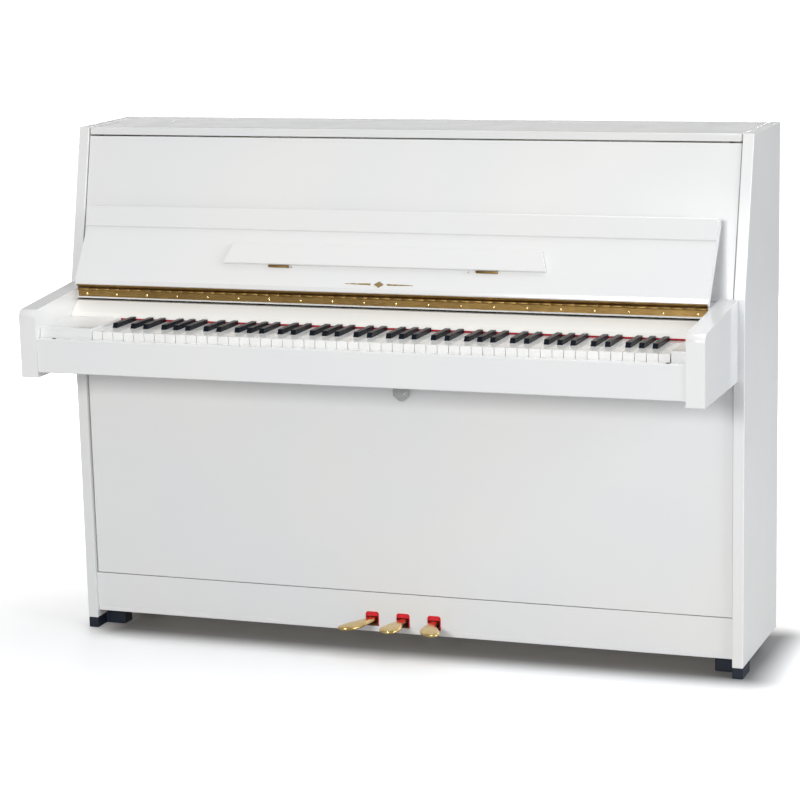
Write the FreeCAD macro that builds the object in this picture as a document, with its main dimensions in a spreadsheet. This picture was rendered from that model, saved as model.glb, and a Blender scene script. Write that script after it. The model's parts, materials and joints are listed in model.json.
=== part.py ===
"""Upright piano with its key cover open, built the way the real instrument comes apart.

Millimetres. +Z is up, the keyboard faces -Y, +X is the treble end. The origin is on the floor,
under the middle of the case. Driving sizes are in the spreadsheet "dims".
"""
import FreeCAD, Part
import math
import os

import Sketcher

DOC = FreeCAD.newDocument("upright_piano")
V = FreeCAD.Vector
X_AXIS, Y_AXIS, Z_AXIS = V(1, 0, 0), V(0, 1, 0), V(0, 0, 1)

DIMENSIONS = [
    # case
    ("half_width", 742), ("front_y", -298), ("rear_y", 298), ("case_height", 1105),
    ("board", 23), ("side_front_y", -23), ("side_top_y", 53), ("slant_foot_z", 785), ("foot_height", 23),
    ("foot_wide", 46), ("foot_deep", 66), ("foot_block_deep", 36),
    ("side_inner_x", 719), ("panel_gap", 1.5), ("panel_recess", 4), ("panel_thick", 18),
    # arms and key bed
    ("arm_inner_x", 690), ("arm_outer_x", 728), ("arm_bottom_z", 619), ("arm_front_z", 760),
    ("arm_round", 16), ("cheek_rear_y", 40), ("bed_bottom_z", 630), ("bed_top_z", 664), ("bed_rear_y", 112),
    ("slip_front_y", -296), ("slip_thick", 16), ("slip_top_z", 702),
    # keyboard
    ("keys_left_x", -569.5), ("white_pitch", 23.558), ("key_front_y", -278.5), ("key_rear_y", 110),
    ("key_top_z", 718), ("key_bottom_z", 694), ("key_gap", 1.0), ("white_head", 50),
    ("sharp_width", 10.4), ("sharp_height", 9.5), ("sharp_cap_rear_y", -136), ("balance_y", -54),
    ("white_guide", 32), ("sharp_guide", 66), ("key_pin_radius", 1.8), ("block_top_z", 724),
    # fall shelf, name strip, hinge and key cover
    ("hinge_y", -103.5), ("hinge_z", 777), ("knuckle_radius", 3), ("pin_radius", 1.2), ("leaf_thick", 1.6),
    ("hinge_half", 686), ("knuckle_length", 24.5), ("fixed_leaf_high", 16), ("moving_leaf_high", 11),
    ("cover_edge_y", -4.5), ("shelf_front_y", -100.5), ("shelf_bottom_z", 757),
    ("shelf_top_z", 779), ("strip_bottom_z", 722), ("cover_open_angle", 130), ("cover_half", 688.5),
    # music ledge
    ("ledge_long", 706), ("ledge_short", 674), ("ledge_wide", 46), ("ledge_thick", 7),
    ("ledge_hinge_y", -58), ("ledge_hinge_x", 227), ("ledge_hinge_wide", 46),
    # rubber buttons
    ("lid_button_radius", 5), ("cover_button_radius", 6), ("cover_button_long", 13.4),
    ("cover_button_rise", 155),
    # lid
    ("lid_thick", 16), ("lid_gap", 3), ("lid_hinge_y", 295), ("lid_hinge_radius", 2.4),
    ("lid_hinge_wide", 80), ("lid_hinge_spacing", 520), ("lid_leaf_deep", 21.5), ("lid_leaf_thick", 1.6),
    # lower front
    ("lower_panel_top_z", 616), ("rail_top_z", 125.5), ("base_top_z", 51), ("base_bottom_z", 39),
    ("rail_front_y", -14), ("rail_thick", 20), ("pedal_spacing", 70), ("pedal_middle_x", 2),
    ("slot_width", 30), ("slot_top_z", 83), ("slot_round", 6), ("felt_thick", 10), ("felt_side", 2.5),
    ("pedal_pivot_y", 185), ("pedal_pivot_z", 67.5), ("pedal_tip_y", -120), ("pedal_splay", 28),
    ("lever_pivot_x", -200), ("lever_pivot_z", 100), ("lever_high", 16), ("lever_wide", 11),
    ("lever_first_row_y", 122), ("lever_row_gap", 15), ("rod_x", -650), ("rod_length", 760),
    ("rod_radius", 5), ("pedal_pin_radius", 2.5), ("lever_pin_radius", 4),
    ("catch_x", 13), ("catch_wide", 33), ("catch_bottom_z", 548),
    # back
    ("post_front_y", 234), ("beam_top_z", 1082), ("top_beam_high", 95), ("low_beam_high", 62),
    ("post_count", 5), ("board_rear_y", 214), ("soundboard_thick", 8),
    ("rib_high", 22), ("rib_pitch", 118), ("rib_lean", 34),
    ("tuning_pin_radius", 3.4), ("string_y", 172), ("bass_string_y", 165),
    ("plate_front_y", 178), ("plate_thick", 14), ("window_half", 660),
    ("plate_bar_x", -180), ("plate_bar_wide", 30),
    # action
    ("hammer_pivot_y", 105), ("hammer_pivot_z", 865), ("strike_z", 985), ("notes", 88),
]

SHEET = DOC.addObject("Spreadsheet::Sheet", "dims")
for row, (alias, value) in enumerate(DIMENSIONS, start=1):
    SHEET.set(f"A{row}", alias)
    SHEET.set(f"B{row}", str(value))
    SHEET.setAlias(f"B{row}", alias)
DOC.recompute()
D = {alias: float(SHEET.get(alias)) for alias, _ in DIMENSIONS}

NODES = []
PEDALS = ("left", "middle", "right")


def keep(thing, label):
    """Give a finished sub-part the name of its node and list it for export."""
    thing.Label = label
    NODES.append(thing)
    return thing


def sheet_text(expression):
    """Put the sheet's name before each alias, as an expression needs it."""
    words = []
    for word in str(expression).split():
        bare = word.strip("()-")
        words.append(word.replace(bare, "dims." + bare) if bare in D else word)
    return " ".join(words)


def number(expression):
    """The value of an expression of sheet aliases."""
    return float(SHEET.evalExpression(sheet_text(expression)))


def bind(thing, prop, expression):
    thing.setExpression(prop, sheet_text(expression))


# ---------------------------------------------------------------- building blocks

def box(name, x, y, z):
    """A board: each of x, y and z is a pair of expressions, its low and high side."""
    piece = DOC.addObject("Part::Box", name)
    for side, axis, (low, high) in zip(("Length", "Width", "Height"), "xyz", (x, y, z)):
        bind(piece, side, f"( {high} ) - ( {low} )")
        bind(piece, f"Placement.Base.{axis}", low)
    return piece


def cylinder(name, radius, length, base, axis):
    """A round piece from its base point along an axis."""
    piece = DOC.addObject("Part::Cylinder", name)
    bind(piece, "Radius", radius)
    bind(piece, "Height", length)
    piece.Placement.Rotation = FreeCAD.Rotation(Z_AXIS, axis)
    for letter, expression in zip("xyz", base):
        bind(piece, f"Placement.Base.{letter}", expression)
    return piece


def group(label, pieces):
    """Several separate solids under one name."""
    compound = DOC.addObject("Part::Compound", label)
    compound.Links = pieces
    return keep(compound, label)


def cut(name, base, tools):
    """A piece with several others taken out of it."""
    if len(tools) > 1:
        tool = DOC.addObject("Part::MultiFuse", name + "_tools")
        tool.Shapes = tools
    else:
        tool = tools[0]
    result = DOC.addObject("Part::Cut", name)
    result.Base = base
    result.Tool = tool
    return result


def arched_box(name, x, y, z, radius):
    """A box whose two upper edges along Y are rounded."""
    blank = box(name + "_blank", x, y, z)
    DOC.recompute()
    top = number(z[1])
    edges = [edge for side in x for edge in edges_at(blank.Shape, Y_AXIS, number(side), top)]
    arch = DOC.addObject("Part::Fillet", name)
    arch.Base = blank
    arch.Edges = [(int(edge.removeprefix("Edge")), number(radius), number(radius)) for edge in edges]
    return arch


def polygon_sketch(body, role, points):
    """A closed polygon on one of the body's own planes, each corner tied to the sheet."""
    sketch = body.newObject("Sketcher::SketchObject", body.Name + "_outline")
    plane = [item for item in body.Origin.OriginFeatures if item.Role == role][0]
    sketch.AttachmentSupport = [(plane, "")]
    sketch.MapMode = "FlatFace"
    corners = [V(number(a), number(b), 0) for a, b in points]
    for index, corner in enumerate(corners):
        following = corners[(index + 1) % len(corners)]
        sketch.addGeometry(Part.LineSegment(corner, following), False)
    for index in range(len(corners)):
        following = (index + 1) % len(corners)
        sketch.addConstraint(Sketcher.Constraint("Coincident", index, 2, following, 1))
    for index, (a, b) in enumerate(points):
        for kind, expression in (("DistanceX", a), ("DistanceY", b)):
            rule = sketch.addConstraint(Sketcher.Constraint(kind, index, 1, number(expression)))
            sketch.setExpression(f"Constraints[{rule}]", sheet_text(expression))
    return sketch


def edges_at(shape, direction, first, second):
    """Names of the straight edges along a direction whose other two coordinates are given."""
    names = []
    for index, edge in enumerate(shape.Edges, start=1):
        along = edge.Vertexes[-1].Point - edge.Vertexes[0].Point
        if along.Length < 1e-6 or abs(abs(along.normalize().dot(direction)) - 1) > 1e-6:
            continue
        point = edge.Vertexes[0].Point
        across = [value for value, axis in zip(point, direction) if abs(axis) < 0.5]
        if math.dist(across, (first, second)) < 0.01:
            names.append(f"Edge{index}")
    return names


def board_body(name, points, low_x, high_x, rounds=()):
    """A board cut to a Y-Z outline and as thick as it is wide in X; rounds are corner radii."""
    body = DOC.addObject("PartDesign::Body", name)
    pad = body.newObject("PartDesign::Pad", name + "_pad")
    pad.Profile = polygon_sketch(body, "YZ_Plane", points)
    bind(pad, "Length", f"( {high_x} ) - ( {low_x} )")
    bind(body, "Placement.Base.x", low_x)
    feature = pad
    for corner, radius in rounds:
        DOC.recompute()
        fillet = body.newObject("PartDesign::Fillet", f"{name}_round_{corner}")
        place = [number(value) for value in points[corner]]
        fillet.Base = (feature, edges_at(feature.Shape, X_AXIS, *place))
        bind(fillet, "Radius", radius)
        feature = fillet
    return body


def made(label, solids):
    """One node whose shape is worked out by a loop over many like pieces."""
    feature = DOC.addObject("Part::Feature", label)
    feature.Shape = solids[0] if len(solids) == 1 else Part.makeCompound(solids)
    return keep(feature, label)


def solid_box(low, high):
    return Part.makeBox(high[0] - low[0], high[1] - low[1], high[2] - low[2], V(*low))


def prism(points, direction):
    """A solid from a closed outline of points, swept along a direction."""
    wire = Part.makePolygon(list(points) + [points[0]])
    return Part.Face(wire).extrude(direction)


def fused(solids):
    whole = solids[0].multiFuse(solids[1:])
    return whole.removeSplitter()


def turned(shape, point, degrees):
    """A copy turned about the X direction through a point."""
    copy = shape.copy()
    copy.rotate(point, X_AXIS, degrees)
    return copy


# ---------------------------------------------------------------- case

SLANT = "( side_top_y - side_front_y ) / ( case_height - slant_foot_z )"


def slanted_face(height):
    """Y of the upper panel's face at a height."""
    return f"side_front_y + panel_recess + ( {height} - slant_foot_z ) * {SLANT}"


def build_sides():
    outline = [
        ("side_front_y", "foot_height"), ("rear_y", "foot_height"), ("rear_y", "case_height"),
        ("side_top_y", "case_height"), ("side_front_y", "slant_foot_z"),
    ]
    keep(board_body("side_left", outline, "- half_width", "- side_inner_x"), "side_panel_left")
    keep(board_body("side_right", outline, "side_inner_x", "half_width"), "side_panel_right")


def build_arms():
    """Each arm stands out in front of its side; a thinner cheek runs back inside the side."""
    outline = [
        ("front_y", "arm_bottom_z"), ("side_front_y", "arm_bottom_z"),
        ("side_front_y", "slant_foot_z"), ("front_y", "arm_front_z"),
    ]
    cheek = [
        ("side_front_y", "arm_bottom_z"), ("cheek_rear_y", "arm_bottom_z"),
        ("cheek_rear_y", "shelf_top_z"), ("side_front_y", "shelf_top_z"),
    ]
    spans = {
        "left": ("- arm_outer_x", "- arm_inner_x", "- side_inner_x", "- arm_inner_x"),
        "right": ("arm_inner_x", "arm_outer_x", "arm_inner_x", "side_inner_x"),
    }
    for hand, (low, high, cheek_low, cheek_high) in spans.items():
        arm = board_body(f"arm_front_{hand}", outline, low, high, [(3, "arm_round")])
        block = board_body(f"arm_cheek_{hand}", cheek, cheek_low, cheek_high)
        whole = DOC.addObject("Part::Fuse", f"arm_{hand}_whole")
        whole.Base = arm
        whole.Tool = block
        keep(whole, f"arm_{hand}")


def build_front_boards():
    keep(box("bed", ("- arm_inner_x", "arm_inner_x"), ("slip_front_y + slip_thick", "bed_rear_y"),
             ("bed_bottom_z", "bed_top_z")), "key_bed")
    keep(box("slip", ("- arm_inner_x", "arm_inner_x"), ("slip_front_y", "slip_front_y + slip_thick"),
             ("bed_bottom_z", "slip_top_z")), "key_slip")
    block_y = ("key_front_y", "hinge_y - 33")
    block_z = ("bed_top_z", "block_top_z")
    group("key_blocks", [
        box("block_bass", ("- arm_inner_x", "keys_left_x - 1"), block_y, block_z),
        box("block_treble", ("keys_left_x + white_pitch * 52 + 1", "arm_inner_x"), block_y, block_z),
    ])
    keep(box("shelf", ("- arm_inner_x", "arm_inner_x"), ("shelf_front_y", "side_front_y + 25"),
             ("shelf_bottom_z", "shelf_top_z")), "fall_shelf")
    strip = [
        ("hinge_y + 0.5", "shelf_bottom_z - 4"), ("hinge_y - 27.5", "strip_bottom_z + 9"),
        ("hinge_y - 31", "strip_bottom_z"), ("hinge_y - 14", "strip_bottom_z"),
        ("hinge_y + 14", "strip_bottom_z + 24"), ("hinge_y + 14", "shelf_bottom_z - 4"),
    ]
    keep(board_body("strip", strip, "- arm_inner_x", "arm_inner_x"), "name_strip")
    keep(box("strip_felt", ("- arm_inner_x", "arm_inner_x"), ("hinge_y - 30.5", "hinge_y - 20"),
             ("strip_bottom_z - 3.2", "strip_bottom_z")), "name_strip_felt")
    top = "case_height - lid_thick - lid_gap"
    low = "shelf_top_z"
    panel = [
        (slanted_face(low), low), (slanted_face(low) + " + panel_thick", low),
        (slanted_face(top) + " + panel_thick", top), (slanted_face(top), top),
    ]
    keep(board_body("panel", panel, "- side_inner_x + panel_gap", "side_inner_x - panel_gap"),
         "upper_panel")


def build_bumpers():
    """Rubber buttons: two under the lid, two for the open key cover to lean on."""
    lid_under = "case_height - lid_thick"
    lean_z = "hinge_z + cover_button_rise"
    tilt = math.atan(number(SLANT))
    outwards = V(0, -math.cos(tilt), math.sin(tilt))
    buttons = []
    for hand, sign in (("left", "-"), ("right", "")):
        lid_place = (f"{sign}( side_inner_x - 24 )", slanted_face(lid_under) + " + panel_thick / 2",
                     f"{lid_under} - lid_gap")
        cover_place = (f"{sign}( side_inner_x - 119 )", slanted_face(lean_z), lean_z)
        buttons.append(cylinder(f"lid_button_{hand}", "lid_button_radius", "lid_gap", lid_place, Z_AXIS))
        buttons.append(cylinder(f"cover_button_{hand}", "cover_button_radius", "cover_button_long",
                                cover_place, outwards))
    group("rubber_bumpers", buttons)


def build_lower_front():
    rail_y = ("rail_front_y", "rail_front_y + rail_thick")
    rail = box("rail_blank", ("- side_inner_x", "side_inner_x"), rail_y, ("base_top_z", "rail_top_z"))
    through = ("rail_front_y - 5", "rail_front_y + rail_thick + 5")
    lined = ("rail_front_y - 1.5", "rail_front_y + rail_thick")
    slots = []
    linings = []
    for index, name in enumerate(PEDALS):
        centre = f"pedal_middle_x + pedal_spacing * ( {index - 1} )"
        sides = (f"{centre} - slot_width / 2", f"{centre} + slot_width / 2")
        inner = (f"{sides[0]} + felt_side", f"{sides[1]} - felt_side")
        slots.append(arched_box(f"slot_{name}", sides, through, ("base_top_z - 5", "slot_top_z"),
                                "slot_round"))
        blank = arched_box(f"lining_blank_{name}", sides, lined, ("base_top_z", "slot_top_z"), "slot_round")
        hollow = arched_box(f"lining_hollow_{name}", inner, through,
                            ("base_top_z - 5", "slot_top_z - felt_thick"), "slot_round - felt_side")
        linings.append(cut(f"lining_{name}", blank, [hollow]))
    keep(cut("rail", rail, slots), "toe_rail")
    group("pedal_slot_felts", linings)
    keep(box("base", ("- side_inner_x", "side_inner_x"), ("rail_front_y", "post_front_y"),
             ("base_bottom_z", "base_top_z")), "bottom_board")
    keep(box("lower", ("- side_inner_x + panel_gap", "side_inner_x - panel_gap"),
             ("rail_front_y", "rail_front_y + panel_thick"), ("rail_top_z + 1.5", "lower_panel_top_z")),
         "lower_panel")
    keep(box("stop", ("- arm_inner_x + 1", "arm_inner_x - 1"),
             ("rail_front_y + panel_thick + 1", "rail_front_y + panel_thick + 21"),
             ("lower_panel_top_z - 34", "bed_bottom_z")), "panel_stop_rail")


def build_feet():
    """At the front a pad under each side with a taller block beside it, at the back the block alone."""
    spans = {
        "left": (("- half_width", "- side_inner_x"), ("- side_inner_x", "- side_inner_x + foot_wide")),
        "right": (("side_inner_x", "half_width"), ("side_inner_x - foot_wide", "side_inner_x")),
    }
    feet = []
    for hand, (pad_x, block_x) in spans.items():
        foot = DOC.addObject("Part::Fuse", f"foot_front_{hand}")
        foot.Base = box(f"foot_pad_{hand}", pad_x, ("side_front_y", "side_front_y + foot_deep"),
                        ("0", "foot_height"))
        foot.Tool = box(f"foot_block_front_{hand}", block_x,
                        ("side_front_y + 44", "side_front_y + 44 + foot_block_deep"), ("0", "base_bottom_z"))
        feet.append(foot)
        feet.append(box(f"foot_block_rear_{hand}", block_x,
                        ("post_front_y - foot_block_deep", "post_front_y"), ("0", "base_bottom_z")))
    group("feet", feet)


# ---------------------------------------------------------------- lid, key cover and ledge

def build_lid():
    keep(box("lid_board", ("- side_inner_x + panel_gap", "side_inner_x - panel_gap"),
             ("side_top_y", "lid_hinge_y - 3"), ("case_height - lid_thick", "case_height")), "lid")
    under = "case_height - lid_thick"
    hinges = []
    for place in (-1, 0, 1):
        low = f"lid_hinge_spacing * ( {place} ) - lid_hinge_wide / 2"
        high = f"lid_hinge_spacing * ( {place} ) + lid_hinge_wide / 2"
        hinges.append(cylinder(f"lid_barrel_{place + 1}", "lid_hinge_radius", "lid_hinge_wide",
                               (low, "lid_hinge_y", f"{under} - 2"), X_AXIS))
        hinges.append(box(f"lid_leaf_{place + 1}", (low, high),
                          ("lid_hinge_y - 2.5 - lid_leaf_deep", "lid_hinge_y - 2.5"),
                          (f"{under} - lid_leaf_thick", under)))
    group("lid_hinges", hinges)


AXIS = V(0, D["hinge_y"], D["hinge_z"])


def at_hinge(x, y, z):
    """A point given from the key cover's hinge, with the cover closed."""
    return V(x, AXIS.y + y, AXIS.z + z)


def opened(shape):
    return turned(shape, AXIS, -D["cover_open_angle"])


COVER_OUTLINE = [
    # closed, from the hinge axis: rear edge, underside, step, lip face, nose, top
    ("cover_edge_y", "1"), ("cover_edge_y", "-14"), ("-12", "-18"), ("-136", "-33"), ("-137", "-37"),
    ("-178", "-53"), ("-193", "-18.5"),
]


def build_cover():
    """The key cover is drawn closed about its hinge and then swung open."""
    body = board_body("cover", COVER_OUTLINE, "- cover_half", "cover_half", [(6, "8"), (5, "3")])
    bind(body, "Placement.Base.y", "hinge_y")
    bind(body, "Placement.Base.z", "hinge_z")
    body.Placement.Rotation = FreeCAD.Rotation(X_AXIS, -D["cover_open_angle"])
    keep(body, "fallboard")


def knuckles(first, radius, hole):
    """Every second knuckle of the long hinge, with or without a bore for the pin."""
    pitch = D["knuckle_length"]
    count = int(2 * D["hinge_half"] // pitch)
    rings = []
    for index in range(first, count, 2):
        start = V(-D["hinge_half"] + index * pitch + 0.25, AXIS.y, AXIS.z)
        ring = Part.makeCylinder(radius, pitch - 0.5, start, X_AXIS)
        if hole:
            ring = ring.cut(Part.makeCylinder(hole, pitch, start, X_AXIS))
        rings.append(ring)
    return rings


def knuckle_room(first):
    """Cylinders a little larger than the knuckles of the other leaf, to clear them."""
    room = []
    for ring in knuckles(first, D["knuckle_radius"], 0):
        start = V(ring.BoundBox.XMin - 0.25, AXIS.y, AXIS.z)
        room.append(Part.makeCylinder(D["knuckle_radius"] + 0.3, D["knuckle_length"], start, X_AXIS))
    return room


def build_long_hinge():
    """Fixed leaf with the pin on the shelf's edge, moving leaf let into the cover's edge."""
    half, radius, thick = D["hinge_half"], D["knuckle_radius"], D["leaf_thick"]
    face = D["shelf_front_y"] - AXIS.y
    bore_radius = D["pin_radius"] + 0.2
    pin = Part.makeCylinder(D["pin_radius"], 2 * half, V(-half, AXIS.y, AXIS.z), X_AXIS)
    leaf = solid_box(at_hinge(-half, face - thick, -D["fixed_leaf_high"]), at_hinge(half, face, -1))
    fixed_knuckles = knuckles(0, radius, 0)
    tabs = []
    for ring in fixed_knuckles:
        low, high = ring.BoundBox.XMin, ring.BoundBox.XMax
        tabs.append(solid_box(at_hinge(low, face - thick, -2), at_hinge(high, face, 0)))
    fixed = leaf.cut(Part.makeCompound(knuckle_room(1)))
    made("hinge_fixed_leaf", [fused([fixed, pin] + tabs + fixed_knuckles)])
    edge = D["cover_edge_y"]
    moving = solid_box(at_hinge(-half, edge, -D["moving_leaf_high"]), at_hinge(half, edge + thick, -1))
    bore = Part.makeCylinder(bore_radius, 2 * half, V(-half, AXIS.y, AXIS.z), X_AXIS)
    moving = moving.cut(Part.makeCompound(knuckle_room(0) + [bore]))
    made("hinge_moving_leaf", [opened(fused([moving] + knuckles(1, radius, bore_radius)))])


# how the closed cover's underside falls towards its front edge
LEDGE_SLOPE = (-33 + 18) / (-136 + 12)


def on_underside(x, y, drop):
    """A point under the closed cover, y behind or before its hinge, drop below its face."""
    return at_hinge(x, y, -18 + (y + 12) * LEDGE_SLOPE - drop)


def underside_outline(half_rear, half_front, rear, front, drop, middle=0):
    """Four corners of a flat piece under the closed cover, wider or narrower at its front."""
    return [on_underside(middle - half_rear, rear, drop), on_underside(middle + half_rear, rear, drop),
            on_underside(middle + half_front, front, drop), on_underside(middle - half_front, front, drop)]


def build_ledge():
    """The shelf that holds music, folded flat on the inner face of the cover, and its two hinges."""
    hinge_edge = D["ledge_hinge_y"]
    down = V(0, LEDGE_SLOPE, -1).normalize() * (D["ledge_thick"] - 0.5)
    outline = underside_outline(D["ledge_long"] / 2, D["ledge_short"] / 2, hinge_edge,
                                hinge_edge - D["ledge_wide"], 0.5)
    made("music_ledge", [opened(prism(outline, down))])
    half = D["ledge_hinge_wide"] / 2
    leaves = []
    for centre in (-D["ledge_hinge_x"], D["ledge_hinge_x"]):
        barrel = Part.makeCylinder(2.2, 2 * half, on_underside(centre - half, hinge_edge + 3.2, 2.6), X_AXIS)
        outline = underside_outline(half, half, hinge_edge + 5, hinge_edge + 1.4, 0.2, centre)
        leaves.append(opened(fused([barrel, prism(outline, V(0, 0, -2))])))
    made("ledge_hinges", leaves)


# ---------------------------------------------------------------- keyboard

SHARP_SHIFTS = {1: -2.6, 3: 2.6, 6: -3.6, 8: 0.0, 10: 3.6}
WHITE_STEPS = {0: 0, 2: 1, 4: 2, 5: 3, 7: 4, 9: 5, 11: 6}
LOWEST_NOTE = 9


def note_place(note):
    """For note 0 to 87: its semitone in the octave and the white keys before that octave."""
    tone = note + LOWEST_NOTE
    return tone % 12, 7 * (tone // 12) - 5


def sharp_centre(note):
    semitone, whites = note_place(note)
    edge = whites + WHITE_STEPS[semitone - 1] + 1
    return D["keys_left_x"] + edge * D["white_pitch"] + SHARP_SHIFTS[semitone]


def is_sharp(note):
    return note_place(note)[0] in SHARP_SHIFTS


def white_sides(note):
    """Left and right of a white key's wide head and of its narrow tail."""
    semitone, whites = note_place(note)
    left = D["keys_left_x"] + (whites + WHITE_STEPS[semitone]) * D["white_pitch"]
    right = left + D["white_pitch"]
    half = D["sharp_width"] / 2 + D["key_gap"] * 0.8
    tail_left, tail_right = left + D["key_gap"] / 2, right - D["key_gap"] / 2
    if note > 0 and is_sharp(note - 1):
        tail_left = sharp_centre(note - 1) + half
    if note < D["notes"] - 1 and is_sharp(note + 1):
        tail_right = sharp_centre(note + 1) - half
    return left + D["key_gap"] / 2, right - D["key_gap"] / 2, tail_left, tail_right


def guide_y(note):
    """A sharp's front guide pin stands behind the heads of the white keys."""
    return D["key_front_y"] + (D["sharp_guide"] if is_sharp(note) else D["white_guide"])


def with_pin_holes(key, middle, note):
    """The key with room for its balance pin and its front guide pin."""
    low = D["key_bottom_z"] - 1
    guide = guide_y(note)
    reach = D["key_top_z"] - low + 10
    balance_hole = Part.makeCylinder(D["key_pin_radius"] + 1.5, reach, V(middle, D["balance_y"], low), Z_AXIS)
    half_slot = D["key_pin_radius"] + 0.8
    guide_slot = solid_box((middle - half_slot, guide - 6, low), (middle + half_slot, guide + 6, low + 16))
    return key.cut(balance_hole).cut(guide_slot)


def capstan(middle):
    return Part.makeCylinder(3.2, 8, V(middle, D["key_rear_y"] - 15, D["key_top_z"] - 3.5), Z_AXIS)


def white_key(note):
    left, right, tail_left, tail_right = white_sides(note)
    low, top = D["key_bottom_z"], D["key_top_z"]
    head_rear = D["key_front_y"] + D["white_head"]
    head = solid_box((left, D["key_front_y"], low), (right, head_rear, top))
    tail = solid_box((tail_left, head_rear - 1, low), (tail_right, D["sharp_cap_rear_y"] + 5, top))
    stick = solid_box((tail_left, D["sharp_cap_rear_y"] + 4, low), (tail_right, D["key_rear_y"], top - 3))
    middle = (tail_left + tail_right) / 2
    return with_pin_holes(fused([head, tail, stick, capstan(middle)]), middle, note)


def sharp_key(note):
    middle = sharp_centre(note)
    half = D["sharp_width"] / 2
    front = D["key_front_y"] + D["white_head"] + 1.2
    rear, top = D["sharp_cap_rear_y"], D["key_top_z"]
    crown = top + D["sharp_height"]
    cap = prism([V(middle - half, front, top - 4), V(middle - half, rear, top - 4),
                 V(middle - half, rear, crown - 0.8), V(middle - half, front + 5, crown),
                 V(middle - half, front + 0.6, top + 1)], V(2 * half, 0, 0))
    stick = solid_box((middle - half, front, D["key_bottom_z"]), (middle + half, D["key_rear_y"], top - 3))
    return with_pin_holes(fused([cap, stick, capstan(middle)]), middle, note)


SINGLE_KEYS = {39: "key_c4", 40: "key_c_sharp4", 41: "key_d4", 42: "key_d_sharp4", 43: "key_e4"}


def build_keys():
    """Five keys in the middle are parts of their own; the others are two groups."""
    groups = {"white_keys": [], "black_keys": []}
    for note in range(int(D["notes"])):
        shape = sharp_key(note) if is_sharp(note) else white_key(note)
        if note in SINGLE_KEYS:
            made(SINGLE_KEYS[note], [shape])
        else:
            groups["black_keys" if is_sharp(note) else "white_keys"].append(shape)
    for label, shapes in groups.items():
        made(label, shapes)


def key_middle(note):
    if is_sharp(note):
        return sharp_centre(note)
    _, _, tail_left, tail_right = white_sides(note)
    return (tail_left + tail_right) / 2


def build_key_frame():
    """Front, balance and back rails on the key bed, with the guide pins of every key."""
    span = ("keys_left_x + 2", "keys_left_x + white_pitch * 52 - 2")
    group("key_frame", [
        box("front_rail", span, ("key_front_y + 8", "key_front_y + sharp_guide + 12"),
            ("bed_top_z", "key_bottom_z - 14")),
        box("balance_rail", span, ("balance_y - 24", "balance_y + 24"), ("bed_top_z", "key_bottom_z - 3")),
        box("back_rail", span, ("key_rear_y - 30", "key_rear_y"), ("bed_top_z", "key_bottom_z - 4")),
    ])
    pins = []
    for note in range(int(D["notes"])):
        middle = key_middle(note)
        foot = D["key_bottom_z"] - 3
        pins.append(Part.makeCylinder(D["key_pin_radius"], 30, V(middle, D["balance_y"], foot), Z_AXIS))
        pins.append(Part.makeCylinder(D["key_pin_radius"], 18, V(middle, guide_y(note), foot - 11), Z_AXIS))
    made("key_pins", pins)


# ---------------------------------------------------------------- back, strings and plate

def build_back():
    reach = "side_inner_x - 2"
    beam_y = ("post_front_y", "rear_y - 4")
    posts = []
    for index in range(int(D["post_count"])):
        centre = f"- ( {reach} ) + 35 + ( 2 * ( {reach} ) - 70 ) * {index} / ( post_count - 1 )"
        posts.append(box(f"post_{index}", (f"{centre} - 35", f"{centre} + 35"), beam_y,
                         ("base_bottom_z + low_beam_high", "beam_top_z - top_beam_high")))
    group("back_posts", posts)
    group("back_beams", [
        box("top_beam", (f"- ( {reach} )", reach), beam_y, ("beam_top_z - top_beam_high", "beam_top_z")),
        box("bottom_beam", (f"- ( {reach} )", reach), beam_y,
            ("base_bottom_z", "base_bottom_z + low_beam_high")),
    ])
    inside = "side_inner_x - 20"
    keep(box("sound", (f"- ( {inside} )", inside), ("board_rear_y - soundboard_thick", "board_rear_y"),
             ("base_top_z + 15", "beam_top_z - top_beam_high - 2")), "soundboard")
    rib_high, rib_pitch, lean = D["rib_high"], D["rib_pitch"], D["rib_lean"]
    low_z, high_z = D["base_top_z"] + 25, D["beam_top_z"] - 107
    edge = number(inside) - 10
    field = solid_box((-edge, D["board_rear_y"], low_z), (edge, D["post_front_y"] - 1, high_z))
    ribs = []
    for index in range(-7, 8):
        rib = solid_box((-1200, D["board_rear_y"], -rib_high / 2),
                        (1200, D["post_front_y"] - 1, rib_high / 2))
        rib.rotate(V(0, 0, 0), Y_AXIS, -lean)
        rib.translate(V(0, 0, (low_z + high_z) / 2 + index * rib_pitch / math.cos(math.radians(lean))))
        ribs.extend(rib.common(field).Solids)
    made("soundboard_ribs", ribs)
    keep(box("block", (f"- ( {inside} )", inside), ("plate_front_y + plate_thick", "post_front_y"),
             ("beam_top_z - top_beam_high", "beam_top_z")), "pin_block")
    blank = box("plate_blank", (f"- ( {inside} )", inside), ("plate_front_y", "plate_front_y + plate_thick"),
                ("base_top_z + 40", "beam_top_z - 2"))
    window_z = ("base_top_z + 170", "beam_top_z - 105")
    through = ("plate_front_y - 5", "plate_front_y + plate_thick + 16")
    windows = [
        box("window_bass", ("- window_half", "plate_bar_x - plate_bar_wide / 2"), through, window_z),
        box("window_treble", ("plate_bar_x + plate_bar_wide / 2", "window_half"), through, window_z),
    ]
    keep(cut("plate", blank, windows), "iron_plate")


BASS_NOTES = 26


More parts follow.
